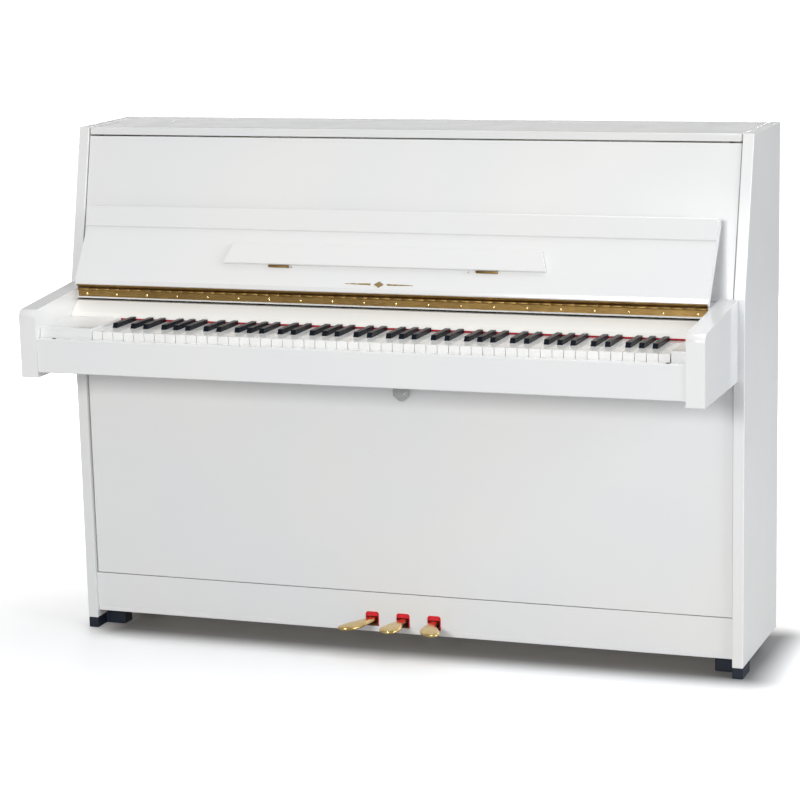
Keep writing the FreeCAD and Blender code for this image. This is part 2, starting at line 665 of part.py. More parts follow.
def string_ends(note):
    """Top and bottom of one note's strings."""
    share = note / (D["notes"] - 1)
    top = D["keys_left_x"] + 20 + share * (52 * D["white_pitch"] - 40)
    high = D["beam_top_z"] - 85
    if note < BASS_NOTES:
        foot = 165 - 20 * note / BASS_NOTES
        return V(top, D["bass_string_y"], high), V(top + 330, D["bass_string_y"], foot)
    place = (note - BASS_NOTES) / (D["notes"] - BASS_NOTES)
    foot = 150 + 560 * place ** 1.3
    return V(top, D["string_y"], high), V(top + 25 * (1 - place), D["string_y"], foot)


def build_strings():
    """One, two or three strings for a note, each under its own tuning pin."""
    wires = []
    pins = []
    for note in range(int(D["notes"])):
        top, foot = string_ends(note)
        count = 1 if note < 10 else 2 if note < BASS_NOTES else 3
        radius = 1.6 - 0.035 * note if note < BASS_NOTES else 0.5
        for index in range(count):
            shift = V((index - (count - 1) / 2) * 3.6, 0, 0)
            wires.append(Part.makeCylinder(radius, (foot - top).Length, top + shift, foot - top))
            seat = V(top.x + shift.x, D["plate_front_y"], top.z + 22 + 16 * index)
            pins.append(Part.makeCylinder(D["tuning_pin_radius"], 22, seat, -Y_AXIS))
    made("strings", wires)
    made("tuning_pins", pins)


def build_bridges():
    """Two curved wooden bars that carry the strings' motion to the soundboard."""
    front, rear = D["string_y"] + 2.5, D["board_rear_y"] - D["soundboard_thick"]
    bars = []
    for ends in (((-640, 330), (-420, 262), (-215, 235)), ((-140, 265), (200, 345), (630, 800))):
        low, middle, high = (V(x, rear, z) for x, z in ends)
        arc = Part.Arc(low, middle, high).toShape()
        upper = Part.Arc(*(point + V(0, 0, 30) for point in (low, middle, high))).toShape()
        caps = [Part.makeLine(high, high + V(0, 0, 30)), Part.makeLine(low + V(0, 0, 30), low)]
        wire = Part.Wire(Part.__sortEdges__([arc, caps[0], upper, caps[1]]))
        bars.append(Part.Face(wire).extrude(V(0, front - rear, 0)))
    made("bridges", bars)


# ---------------------------------------------------------------- action

DAMPED_NOTES = 68


def note_x(note):
    return string_ends(note)[0].x


def action_frame(half, middle_x):
    """Four upright brackets on a rail; the outer two stand on the key bed, the others over the keys."""
    bed, over_keys = D["bed_top_z"], D["key_top_z"] + 27
    rail_low, rail_high = D["hammer_pivot_z"] - 23, D["hammer_pivot_z"] - 3
    parts = [solid_box((middle_x - half - 14, 84, rail_low), (middle_x + half + 14, 98, rail_high))]
    for place, foot in ((-half - 8, bed), (-half / 3, over_keys), (half / 3, over_keys), (half + 8, bed)):
        x = middle_x + place
        parts.append(solid_box((x - 6, 62, foot), (x + 6, 84, 960)))
    return fused(parts)


def action_lever(x):
    """A lever lifted by the key's capstan, with a heel below and a jack above."""
    beam = solid_box((x - 4, 88, 752), (x + 4, 132, 762))
    heel = solid_box((x - 3, 89, 738), (x + 3, 101, 753))
    jack = solid_box((x - 3, 104, 761), (x + 3, 112, 840))
    return fused([beam, heel, jack])


def hammer(x):
    """A butt on the pivot, a round shank and a felt head that narrows towards the strings."""
    y, z, strike = D["hammer_pivot_y"], D["hammer_pivot_z"], D["strike_z"]
    shank = Part.makeCylinder(2.8, strike - z, V(x, y + 6, z), Z_AXIS)
    butt = solid_box((x - 4, y, z - 16), (x + 4, y + 14, z + 14))
    side = [V(x - 4.5, y - 8, strike - 8), V(x - 4.5, y + 24, strike - 3),
            V(x - 4.5, y + 24, strike + 3), V(x - 4.5, y - 8, strike + 8)]
    return fused([shank, butt, prism(side, V(9, 0, 0))])


def damper(x):
    """A lever, a wire and a felt that rests just short of the strings."""
    felt = solid_box((x - 4, 158, 930), (x + 4, D["string_y"] - 10, 958))
    wire = solid_box((x - 1, 146, 880), (x + 1, 149, 950))
    arm = solid_box((x - 2, 146, 940), (x + 2, 159, 946))
    lever = solid_box((x - 3, 136, 868), (x + 3, 150, 882))
    return fused([felt, wire, arm, lever])


def build_action():
    """Brackets, levers, hammers and dampers between the keys and the strings."""
    half = 52 * D["white_pitch"] / 2
    middle_x = D["keys_left_x"] + half
    low_x, high_x = middle_x - half, middle_x + half
    places = [note_x(note) for note in range(int(D["notes"]))]
    made("action_frame", [action_frame(half, middle_x)])
    made("action_levers", [action_lever(x) for x in places])
    made("hammers", [hammer(x) for x in places])
    made("dampers", [damper(x) for x in places[:DAMPED_NOTES]])
    made("hammer_rest_rail", [solid_box((low_x, 84.5, 918), (high_x, 107, 938))])
    made("muffler_rail", [solid_box((low_x, 148, 1012), (high_x, 152, 1062))])


# ---------------------------------------------------------------- pedals

PIN_PLAY = 0.08
BAR_LOW, BAR_HIGH = 63, 72
LEAF_LOW, LEAF_HIGH = 65, 74
LEAF_HALF_WIDTHS = ((0, 9), (16, 9.5), (34, 13), (58, 20), (76, 22), (90, 19), (98, 11))
NECK_Y = -20


def pedal_x(name):
    return D["pedal_middle_x"] + D["pedal_spacing"] * (PEDALS.index(name) - 1)


def lever_row(name):
    """The right pedal's lever is the front one, the left pedal's the rear one."""
    return D["lever_first_row_y"] + D["lever_row_gap"] * (2 - PEDALS.index(name))


def pedal_shape(name):
    """A leaf on a neck, the outer ones curving outwards, and a bar back to the pivot."""
    x = pedal_x(name)
    splay = D["pedal_splay"] * (PEDALS.index(name) - 1)
    reach = NECK_Y - D["pedal_tip_y"]

    def centre(ahead):
        return x + splay * (ahead / reach) ** 1.4

    left = [V(centre(ahead) - half, NECK_Y - ahead, LEAF_LOW) for ahead, half in LEAF_HALF_WIDTHS]
    right = [V(centre(ahead) + half, NECK_Y - ahead, LEAF_LOW) for ahead, half in LEAF_HALF_WIDTHS]
    tip = V(centre(reach), D["pedal_tip_y"], LEAF_LOW)
    rim = Part.BSplineCurve()
    rim.interpolate(left + [tip] + right[::-1])
    outline = Part.Wire([rim.toShape(), Part.makeLine(right[0], left[0])])
    leaf = Part.Face(outline).extrude(V(0, 0, LEAF_HIGH - LEAF_LOW))
    bar = solid_box((x - 9, NECK_Y - 2, BAR_LOW), (x + 9, D["pedal_pivot_y"] + 11, BAR_HIGH))
    bore = Part.makeCylinder(D["pedal_pin_radius"] + PIN_PLAY, 60,
                             V(x - 30, D["pedal_pivot_y"], D["pedal_pivot_z"]), X_AXIS)
    return fused([leaf, bar]).cut(bore)


def pedal_bracket(name):
    """A steel fork with the pin that its pedal turns on."""
    x, y, z = pedal_x(name), D["pedal_pivot_y"], D["pedal_pivot_z"]
    base = D["base_top_z"]
    ears = [solid_box((x + side - 1.5, y - 9, base), (x + side + 1.5, y + 9, z + 8))
            for side in (-11.5, 11.5)]
    foot = solid_box((x - 13, y - 9, base), (x + 13, y + 9, base + 3))
    pin = Part.makeCylinder(D["pedal_pin_radius"], 26, V(x - 13, y, z), X_AXIS)
    return fused(ears + [foot, pin])


def trap_lever(name):
    """A wooden lever across the case: the pedal draws its right end down, its left end lifts a rod."""
    x, row = pedal_x(name), lever_row(name)
    z, half_high, half_wide = D["lever_pivot_z"], D["lever_high"] / 2, D["lever_wide"] / 2
    beam = solid_box((D["rod_x"] - 12, row - half_wide, z - half_high),
                     (x + 12, row + half_wide, z + half_high))
    stem = solid_box((x - 4, row - 4, BAR_HIGH + 0.5), (x + 4, row + 4, z - half_high + 1))
    bore = Part.makeCylinder(D["lever_pin_radius"] + PIN_PLAY, 30, V(D["lever_pivot_x"], row - 15, z), Y_AXIS)
    return fused([beam, stem]).cut(bore)


def lever_stand():
    """One block whose ears hold the pin that all three trap levers turn on."""
    x, z, base = D["lever_pivot_x"], D["lever_pivot_z"], D["base_top_z"]
    first = D["lever_first_row_y"] - D["lever_row_gap"] / 2
    ears = [solid_box((x - 9, first + gap * D["lever_row_gap"] - 1, base),
                      (x + 9, first + gap * D["lever_row_gap"] + 1, z + 8)) for gap in range(4)]
    foot = solid_box((x - 9, first - 1, base), (x + 9, first + 3 * D["lever_row_gap"] + 1, base + 12))
    pin = Part.makeCylinder(D["lever_pin_radius"], 3 * D["lever_row_gap"] + 2, V(x, first - 1, z), Y_AXIS)
    return fused(ears + [foot, pin])


def build_pedals():
    for name in PEDALS:
        made(f"pedal_{name}", [pedal_shape(name)])
        made(f"trap_lever_{name}", [trap_lever(name)])
        foot = V(D["rod_x"], lever_row(name), D["lever_pivot_z"] + D["lever_high"] / 2 + 0.5)
        made(f"pedal_rod_{name}", [Part.makeCylinder(D["rod_radius"], D["rod_length"], foot, Z_AXIS)])
    made("pedal_brackets", [pedal_bracket(name) for name in PEDALS] + [lever_stand()])


def build_catch():
    """The thumb catch at the top of the lower panel: it rocks on its back, so its tab leans clear."""
    x, wide, low, high = D["catch_x"], D["catch_wide"], D["catch_bottom_z"], D["lower_panel_top_z"] + 1
    rear = D["rail_front_y"] - 0.4
    half, nip = wide / 2, 12
    side = [V(x - half, rear, high), V(x - half, rear, low + 48), V(x - half, rear - 9, low),
            V(x - half, rear - 13, low), V(x - half, rear - 16, low + 20), V(x - half, rear - 12, high)]
    tab = prism(side, V(wide, 0, 0))
    corners = []
    for hand in (-1, 1):
        edge = x + hand * half
        corners.append(prism([V(edge, rear - 20, low - 1), V(edge, rear - 20, low + nip),
                              V(edge - hand * nip * 1.2, rear - 20, low - 1)], V(0, 30, 0)))
    made("panel_catch", [tab.cut(Part.makeCompound(corners))])


build_sides()
build_arms()
build_front_boards()
build_bumpers()
build_lower_front()
build_feet()
build_lid()
build_cover()
build_long_hinge()
build_ledge()
build_keys()
build_key_frame()
build_back()
build_strings()
build_bridges()
build_action()
build_pedals()
build_catch()
DOC.recompute()

failed = [thing.Label for thing in DOC.Objects if "Invalid" in thing.State or "Error" in thing.State]
failed += [node.Label for node in NODES if node.Shape.isNull() or not node.Shape.isValid()]
if failed:
    raise RuntimeError(f"these objects failed: {failed}")

os.makedirs("parts", exist_ok=True)
for node in NODES:
    node.Shape.exportStep(f"parts/{node.Label}.step")
print(len(NODES), "nodes written")
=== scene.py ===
import json
import math

import bmesh
import bpy
from mathutils import Matrix, Vector


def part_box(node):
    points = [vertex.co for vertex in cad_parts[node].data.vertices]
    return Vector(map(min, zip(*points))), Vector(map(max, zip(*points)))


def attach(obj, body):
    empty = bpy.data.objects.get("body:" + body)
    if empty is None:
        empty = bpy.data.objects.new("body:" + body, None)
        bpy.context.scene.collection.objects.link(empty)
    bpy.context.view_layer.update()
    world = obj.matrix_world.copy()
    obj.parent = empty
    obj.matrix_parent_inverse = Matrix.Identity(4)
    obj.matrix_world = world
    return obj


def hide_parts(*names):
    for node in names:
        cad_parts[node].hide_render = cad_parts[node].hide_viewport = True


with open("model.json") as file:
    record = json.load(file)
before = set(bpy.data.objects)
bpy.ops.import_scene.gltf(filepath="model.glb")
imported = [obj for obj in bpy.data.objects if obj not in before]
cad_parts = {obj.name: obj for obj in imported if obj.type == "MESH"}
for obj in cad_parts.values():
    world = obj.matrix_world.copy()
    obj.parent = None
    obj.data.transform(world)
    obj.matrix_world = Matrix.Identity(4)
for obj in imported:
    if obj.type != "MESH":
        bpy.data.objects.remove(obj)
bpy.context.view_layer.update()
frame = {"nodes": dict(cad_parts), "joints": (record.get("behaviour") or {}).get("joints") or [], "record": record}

NODES = frame["nodes"]
JOINTS = {joint["name"]: joint for joint in frame["joints"]}
SLOT_OF = {part["node"]: part["material_slot"] for part in frame["record"]["subparts"]}
COLLECTION = bpy.context.scene.collection
MM = 0.001


# ---------------------------------------------------------------- camera

def make_camera():
    """A long lens to the right of the keyboard, a little above the lid."""
    yaw, pitch, roll = math.radians(20.602), math.radians(-13.033), math.radians(-1.483)
    ahead = Vector((-math.sin(yaw) * math.cos(pitch), math.cos(yaw) * math.cos(pitch), math.sin(pitch)))
    level = Vector((math.cos(yaw), math.sin(yaw), 0))
    upright = level.cross(ahead)
    right = math.cos(roll) * level + math.sin(roll) * upright
    up = -math.sin(roll) * level + math.cos(roll) * upright
    data = bpy.data.cameras.new("camera")
    data.sensor_width = 36
    data.lens = 120.39
    data.shift_x, data.shift_y = 0.0232, 0.1071
    data.clip_end = 60
    camera = bpy.data.objects.new("camera", data)
    camera.matrix_world = Matrix((right, up, -ahead)).transposed().to_4x4()
    camera.location = (1.9023, -5.1798, 1.6388)
    COLLECTION.objects.link(camera)
    bpy.context.scene.camera = camera


# ---------------------------------------------------------------- materials

# where the look changes along a node that is made of two materials, in metres
WHITE_TOP_REAR_Y = -0.1315
SHARP_CAP_REAR_Y = -0.134
HAMMER_HEAD_Z = 0.976
DAMPER_FELT_Y = 0.1575
BOARD_EDGE_Y = -0.0125


class Shader:
    """A node material: a Principled shader and short ways to feed it."""

    def __init__(self, name, **sockets):
        self.material = bpy.data.materials.new(name)
        self.material.use_nodes = True
        self.tree = self.material.node_tree
        self.principled = self.tree.nodes["Principled BSDF"]
        for socket, value in sockets.items():
            self.principled.inputs[socket.replace("_", " ")].default_value = value
        self.place = self.add("ShaderNodeTexCoord").outputs["Object"]

    def add(self, kind, **settings):
        node = self.tree.nodes.new(kind)
        for key, value in settings.items():
            setattr(node, key, value)
        return node

    def link(self, source, target):
        self.tree.links.new(source, target)

    def stretched(self, scale, turn=(0, 0, 0)):
        """Object coordinates scaled differently along each axis."""
        mapping = self.add("ShaderNodeMapping")
        mapping.inputs["Scale"].default_value = scale
        mapping.inputs["Rotation"].default_value = turn
        self.link(self.place, mapping.inputs["Vector"])
        return mapping.outputs["Vector"]

    def noise(self, scale, detail=3, vector=None, roughness=0.5):
        node = self.add("ShaderNodeTexNoise")
        node.inputs["Scale"].default_value = scale
        node.inputs["Detail"].default_value = detail
        node.inputs["Roughness"].default_value = roughness
        self.link(vector or self.place, node.inputs["Vector"])
        return node.outputs["Fac"]

    def ramp(self, value, stops):
        node = self.add("ShaderNodeValToRGB")
        band = node.color_ramp
        while len(band.elements) < len(stops):
            band.elements.new(0.5)
        for element, (position, colour) in zip(band.elements, stops):
            element.position = position
            element.color = (*colour, 1) if len(colour) == 3 else colour
        self.link(value, node.inputs["Fac"])
        return node.outputs["Color"]

    def spread(self, value, low, high):
        """A 0 to 1 value spread between low and high."""
        node = self.add("ShaderNodeMapRange")
        node.inputs["From Min"].default_value = 0.3
        node.inputs["From Max"].default_value = 0.7
        node.inputs["To Min"].default_value = low
        node.inputs["To Max"].default_value = high
        self.link(value, node.inputs["Value"])
        return node.outputs["Result"]

    def mix(self, factor, first, second):
        node = self.add("ShaderNodeMix", data_type="RGBA")
        self.link(factor, node.inputs["Factor"])
        self.link(first, node.inputs["A"])
        self.link(second, node.inputs["B"])
        return node.outputs["Result"]

    def smooth_range(self, value, reach, levels):
        """A smooth step from the first level to the second as a value crosses its reach."""
        node = self.add("ShaderNodeMapRange", interpolation_type="SMOOTHSTEP")
        for socket, number in zip(("From Min", "From Max", "To Min", "To Max"), (*reach, *levels)):
            node.inputs[socket].default_value = number
        self.link(value, node.inputs["Value"])
        return node.outputs["Result"]

    def vectors(self, operation, source, amount=None, result="Vector"):
        """One step of vector arithmetic."""
        node = self.add("ShaderNodeVectorMath", operation=operation)
        if amount is not None:
            node.inputs[1].default_value = amount
        self.link(source, node.inputs[0])
        return node.outputs[result]

    def beyond(self, axis, limit):
        """1 where the place along an axis is past a limit, else 0."""
        split = self.add("ShaderNodeSeparateXYZ")
        self.link(self.place, split.inputs["Vector"])
        test = self.add("ShaderNodeMath", operation="GREATER_THAN")
        test.inputs[1].default_value = limit
        self.link(split.outputs[axis], test.inputs[0])
        return test.outputs["Value"]

    def colour(self, socket):
        self.link(socket, self.principled.inputs["Base Color"])

    def rough(self, socket):
        self.link(socket, self.principled.inputs["Roughness"])

    def bump(self, *layers):
        """Bump layers of (height, strength, depth in metres), each on top of the last."""
        normal = None
        for height, strength, depth in layers:
            node = self.add("ShaderNodeBump")
            node.inputs["Strength"].default_value = strength
            node.inputs["Distance"].default_value = depth
            self.link(height, node.inputs["Height"])
            if normal:
                self.link(normal, node.inputs["Normal"])
            normal = node.outputs["Normal"]
        self.link(normal, self.principled.inputs["Normal"])


def white_polyester(name, cool, warm):
    """Sprayed and polished: near mirror flat, with a faint orange peel and warm and cool patches."""
    shader = Shader(name, Coat_Weight=0.6, Coat_Roughness=0.04)
    patches = shader.noise(2.2, 2)
    shader.colour(shader.ramp(patches, [(0.35, cool), (0.65, warm)]))
    shader.rough(shader.spread(shader.noise(9, 4), 0.15, 0.21))
    shader.bump((shader.noise(190, 2), 0.05, 0.0003), (shader.noise(14, 1), 0.004, 0.002))
    return shader.material


def stick_wood(shader):
    """The bare spruce of a key's stick, its grain along the key."""
    grain = shader.noise(14, 5, shader.stretched((12, 1, 12)))
    return shader.ramp(grain, [(0.35, (0.62, 0.43, 0.24)), (0.65, (0.74, 0.56, 0.35))])


def key_plastic():
    """White acrylic tops; the stick behind the name strip is bare spruce."""
    shader = Shader("white_key", Coat_Weight=0.4, Coat_Roughness=0.08)
    tint = shader.add("ShaderNodeNewGeometry").outputs["Random Per Island"]
    top = shader.ramp(tint, [(0.0, (0.86, 0.86, 0.84)), (1.0, (0.90, 0.90, 0.885))])
    stick = stick_wood(shader)
    shader.colour(shader.mix(shader.beyond("Y", WHITE_TOP_REAR_Y), top, stick))
    shader.rough(shader.spread(shader.noise(60, 3), 0.16, 0.28))
    shader.bump((shader.noise(420, 2), 0.05, 0.0002))
    return shader.material


def sharp_plastic():
    """Black satin caps, polished a little along the top by use, on spruce sticks."""
    shader = Shader("black_key", Specular_IOR_Level=0.14)
    streaks = shader.noise(30, 4, shader.stretched((10, 1, 6)))
    cap = shader.ramp(streaks, [(0.3, (0.002, 0.004, 0.008)), (0.7, (0.006, 0.010, 0.017))])
    stick = stick_wood(shader)
    shader.colour(shader.mix(shader.beyond("Y", SHARP_CAP_REAR_Y), cap, stick))
    shader.rough(shader.spread(streaks, 0.24, 0.40))
    shader.bump((shader.noise(900, 2), 0.08, 0.0002))
    return shader.material


def brass():
    """Hinge brass gone brown: fine lines along its length under uneven tarnish."""
    shader = Shader("brass", Metallic=1.0, Specular_Tint=(1.0, 0.9, 0.7, 1))
    lines = shader.noise(60, 5, shader.stretched((1, 14, 14)))
    tarnish = shader.noise(25, 4)
    bright = shader.ramp(lines, [(0.3, (0.27, 0.16, 0.05)), (0.7, (0.42, 0.28, 0.10))])
    dull = shader.ramp(lines, [(0.3, (0.15, 0.09, 0.03)), (0.7, (0.27, 0.17, 0.06))])
    shader.colour(shader.mix(shader.spread(tarnish, 0, 0.8), bright, dull))
    shader.rough(shader.spread(tarnish, 0.38, 0.52))
    shader.bump((lines, 0.08, 0.0002), (shader.noise(300, 2), 0.05, 0.0002))
    return shader.material


def bright_brass():
    """Small polished brass: screw heads and inlay."""
    shader = Shader("bright_brass", Metallic=1.0)
    lines = shader.noise(90, 4, shader.stretched((1, 8, 8)))
    shader.colour(shader.ramp(lines, [(0.3, (0.60, 0.42, 0.17)), (0.7, (0.80, 0.62, 0.32))]))
    shader.rough(shader.spread(lines, 0.2, 0.34))
    shader.bump((lines, 0.06, 0.0002))
    return shader.material


def pedal_brass():
    """Cast brass, buffed: paler, with soft scuffs where shoes rest."""
    shader = Shader("pedal_brass", Metallic=1.0)
    scuffs = shader.noise(45, 6, shader.stretched((2, 1, 1)), 0.65)
    stops = [(0.3, (0.62, 0.41, 0.13)), (0.6, (0.82, 0.61, 0.27)), (0.8, (0.90, 0.72, 0.40))]
    shader.colour(shader.ramp(scuffs, stops))
    shader.rough(shader.spread(scuffs, 0.10, 0.28))
    shader.bump((scuffs, 0.06, 0.0005), (shader.noise(500, 2), 0.05, 0.0001))
    return shader.material


def felt(name, dark, light):
    """Pressed wool: a matted surface of short fibres with a soft edge."""
    shader = Shader(name, Sheen_Weight=0.35, Sheen_Roughness=0.5, Roughness=0.95)
    fibres = shader.noise(900, 6, None, 0.7)
    shader.colour(shader.ramp(fibres, [(0.3, dark), (0.7, light)]))
    shader.bump((fibres, 0.6, 0.0006), (shader.noise(120, 3), 0.4, 0.0008))
    return shader.material


def wood(name, dark, light, scale, along, gloss=0.45):
    """Sawn wood: stretched rings, fine pores and a little unevenness; along is its grain's scale."""
    shader = Shader(name)
    rings = shader.noise(3.2, 6, shader.stretched(along), 0.6)
    fine = shader.noise(70 * scale, 4, shader.stretched(along), 0.6)
    broad = shader.ramp(rings, [(0.3, dark), (0.5, light), (0.7, dark)])
    pores = shader.ramp(fine, [(0.35, tuple(0.8 * part for part in dark)), (0.6, light)])
    shader.colour(shader.mix(shader.spread(shader.noise(9), 0.25, 0.6), broad, pores))
    shader.rough(shader.spread(fine, gloss, gloss + 0.25))
    shader.bump((fine, 0.25, 0.0004))
    return shader.material


def hammer_felt():
    """White felt heads on maple shanks."""
    shader = Shader("hammer_felt", Roughness=0.85)
    fibres = shader.noise(700, 5, None, 0.7)
    wool = shader.ramp(fibres, [(0.3, (0.70, 0.67, 0.60)), (0.7, (0.84, 0.82, 0.77))])
    grain = shader.noise(40, 4, shader.stretched((8, 8, 1)))
    maple = shader.ramp(grain, [(0.35, (0.60, 0.42, 0.24)), (0.65, (0.74, 0.57, 0.37))])
    shader.colour(shader.mix(shader.beyond("Z", HAMMER_HEAD_Z), maple, wool))
    shader.bump((fibres, 0.3, 0.0005))
    return shader.material


def damper_felt():
    """Felt pads held by blocks of black-lacquered wood."""
    shader = Shader("damper_felt", Roughness=0.8)
    fibres = shader.noise(700, 5, None, 0.7)
    wool = shader.ramp(fibres, [(0.3, (0.66, 0.62, 0.55)), (0.7, (0.82, 0.79, 0.73))])
    block = shader.ramp(shader.noise(50, 3), [(0.3, (0.10, 0.08, 0.06)), (0.7, (0.16, 0.13, 0.10))])
    shader.colour(shader.mix(shader.beyond("Y", DAMPER_FELT_Y), block, wool))
    shader.bump((fibres, 0.3, 0.0005))
    return shader.material


def edged_board():
    """Plywood whose front edge is lacquered white with the case."""
    shader = Shader("edged_board")
    grain = shader.noise(18, 5, shader.stretched((1, 8, 8)))
    ply = shader.ramp(grain, [(0.35, (0.55, 0.38, 0.20)), (0.65, (0.70, 0.53, 0.32))])
    white = shader.ramp(grain, [(0.3, (0.80, 0.80, 0.80)), (0.7, (0.82, 0.82, 0.815))])
    shader.colour(shader.mix(shader.beyond("Y", BOARD_EDGE_Y), white, ply))
    shader.rough(shader.spread(grain, 0.2, 0.3))
    shader.bump((grain, 0.04, 0.0003))
    return shader.material


def plate_paint():
    """Sand-cast iron under gold-bronze paint: a fine pebbled skin."""
    shader = Shader("plate_iron", Metallic=0.55, Coat_Weight=0.3, Coat_Roughness=0.2)
    pebbles = shader.noise(260, 4, None, 0.6)
    shader.colour(shader.ramp(pebbles, [(0.3, (0.50, 0.35, 0.13)), (0.7, (0.68, 0.50, 0.22))]))
    shader.rough(shader.spread(pebbles, 0.32, 0.5))
    shader.bump((pebbles, 0.35, 0.0006), (shader.noise(18, 3), 0.2, 0.002))
    return shader.material


def steel(name, dark, light, low=0.2, high=0.38):
    shader = Shader(name, Metallic=1.0)
    lines = shader.noise(120, 4, shader.stretched((6, 1, 1)))
    shader.colour(shader.ramp(lines, [(0.3, dark), (0.7, light)]))
    shader.rough(shader.spread(lines, low, high))
    shader.bump((lines, 0.12, 0.0002))
    return shader.material


def moulded(name, dark, light, low, high, grain=600):
    """Moulded plastic or rubber with a fine eroded grain."""
    shader = Shader(name)
    texture = shader.noise(grain, 4, None, 0.6)
    shader.colour(shader.ramp(shader.noise(40, 3), [(0.3, dark), (0.7, light)]))
    shader.rough(shader.spread(texture, low, high))
    shader.bump((texture, 0.25, 0.0003))
    return shader.material


def cloudy_plastic():
    """Translucent grey plastic with flow clouds."""
    shader = Shader("grey_plastic", Transmission_Weight=0.45, IOR=1.49, Coat_Weight=0.5, Coat_Roughness=0.05)
    clouds = shader.noise(60, 4)
    shader.colour(shader.ramp(clouds, [(0.3, (0.58, 0.61, 0.59)), (0.7, (0.80, 0.83, 0.81))]))
    shader.rough(shader.spread(clouds, 0.12, 0.3))
    shader.bump((shader.noise(220, 2), 0.1, 0.0003))
    return shader.material


def make_materials():
    spruce_dark, spruce_light = (0.52, 0.34, 0.17), (0.70, 0.52, 0.31)
    return {
        "white_polyester": white_polyester("white_polyester", (0.80, 0.805, 0.81), (0.83, 0.825, 0.81)),
        # a brighter, warmer copy of the white lacquer for the name strip: painted light that lifts it out of the
        # shade under the shelf
        "painted_light_polyester": white_polyester("painted_light_polyester", (0.92, 0.90, 0.85), (0.94, 0.92, 0.88)),
        "white_key": key_plastic(),
        "black_key": sharp_plastic(),
        "brass": brass(),
        "bright_brass": bright_brass(),
        "pedal_brass": pedal_brass(),
        "red_felt": felt("red_felt", (0.55, 0.006, 0.016), (0.84, 0.02, 0.035)),
        "crimson_felt": felt("crimson_felt", (0.34, 0.004, 0.012), (0.52, 0.01, 0.022)),
        "bare_wood": wood("bare_wood", spruce_dark, spruce_light, 1, (1, 14, 14)),
        "upright_wood": wood("upright_wood", (0.56, 0.40, 0.22), (0.72, 0.56, 0.36), 1, (14, 14, 1)),
        "board_wood": wood("board_wood", (0.62, 0.44, 0.23), (0.76, 0.60, 0.37), 1.4, (1, 16, 10), 0.3),
        "edged_board": edged_board(),
        "plate_iron": plate_paint(),
        "steel": steel("steel", (0.42, 0.42, 0.44), (0.66, 0.66, 0.68)),
        "dark_steel": steel("dark_steel", (0.07, 0.07, 0.075), (0.14, 0.14, 0.15), 0.35, 0.5),
        "action_alloy": steel("action_alloy", (0.55, 0.55, 0.56), (0.72, 0.72, 0.73), 0.35, 0.5),
        "white_felt": felt("white_felt", (0.68, 0.65, 0.58), (0.84, 0.82, 0.76)),
        "hammer_felt": hammer_felt(),
        "damper_felt": damper_felt(),
        "black_foot": moulded("black_foot", (0.002, 0.006, 0.016), (0.004, 0.011, 0.026), 0.45, 0.7),
        "rubber": moulded("rubber", (0.03, 0.03, 0.03), (0.06, 0.06, 0.06), 0.6, 0.85),
        "grey_stud": moulded("grey_stud", (0.44, 0.44, 0.43), (0.58, 0.58, 0.57), 0.45, 0.6),
        "grey_plastic": cloudy_plastic(),
    }


MATERIALS = {}

# CAD nodes whose look differs from the rest of their slot
SPECIAL_LOOKS = {
    "back_posts": "upright_wood", "soundboard": "board_wood",
    "hammers": "hammer_felt", "dampers": "damper_felt",
    # the name strip wears the brighter lacquer copy, painted light against the shade under the shelf
    "bottom_board": "edged_board", "name_strip": "painted_light_polyester", "name_strip_felt": "crimson_felt",
}

# how round the edges of each slot's pieces are, in metres, and how many facets the round has
EDGES = {
    "white_polyester": (0.0016, 3), "white_key": (0.0006, 2), "black_key": (0.0013, 3),
    "brass": (0.0003, 2), "bare_wood": (0.0012, 2), "plate_iron": (0.003, 3), "steel": (0.0003, 1),
    "grey_plastic": (0.0030, 4), "black_foot": (0.0025, 3), "red_felt": (0.0008, 2),
    "action_alloy": (0.0006, 1), "white_felt": (0.0006, 1), "rubber": (0.0012, 2),
}
SOFTER_EDGES = {
    "lid": 0.003, "key_slip": 0.0025, "music_ledge": 0.0022, "arm_left": 0.0045, "arm_right": 0.0045,
    "pedal_slot_felts": 0.0012,
}
PLAIN_NODES = {
    "toe_rail", "strings", "tuning_pins", "key_pins", "action_levers", "hammers", "dampers",
    "pedal_brackets",
}
WELD_REACH = 0.00001
SHARP_ANGLE = math.radians(38)


def finish_cad_nodes():
    """Rounds the edges of the CAD nodes and gives each its material."""
    for name, node in NODES.items():
        look = SPECIAL_LOOKS.get(name, SLOT_OF[name])
        node.data.materials.clear()
        node.data.materials.append(MATERIALS[look])
        if name in PLAIN_NODES:
            continue
        width, facets = EDGES[SLOT_OF[name]]
        weld = node.modifiers.new("weld", "WELD")
        weld.merge_threshold = WELD_REACH
        bevel = node.modifiers.new("bevel", "BEVEL")
        bevel.width = SOFTER_EDGES.get(name, width)
        bevel.segments = facets
        bevel.limit_method = "ANGLE"
        bevel.angle_limit = SHARP_ANGLE
        bevel.harden_normals = True


# ---------------------------------------------------------------- mesh building

def add_object(name, mesh, look, body, smooth=True):
    for polygon in mesh.polygons:
        polygon.use_smooth = smooth
    mesh.materials.append(MATERIALS[look])
    piece = bpy.data.objects.new(name, mesh)
    COLLECTION.objects.link(piece)
    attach(piece, body)
    return piece


def skin(mesh, rings):
    """A closed tube of quads through rings of points, with its two ends filled."""
    rows = [[mesh.verts.new(point) for point in ring] for ring in rings]
    for first, second in zip(rows, rows[1:]):
        for index in range(len(first)):
            following = (index + 1) % len(first)
            mesh.faces.new((first[index], first[following], second[following], second[index]))
    mesh.faces.new(rows[0][::-1])
    mesh.faces.new(rows[-1])


def finished(mesh, name):
    """The mesh's data with its faces turned outwards."""
    bmesh.ops.recalc_face_normals(mesh, faces=mesh.faces)
    data = bpy.data.meshes.new(name)
    mesh.to_mesh(data)
    mesh.free()
    return data


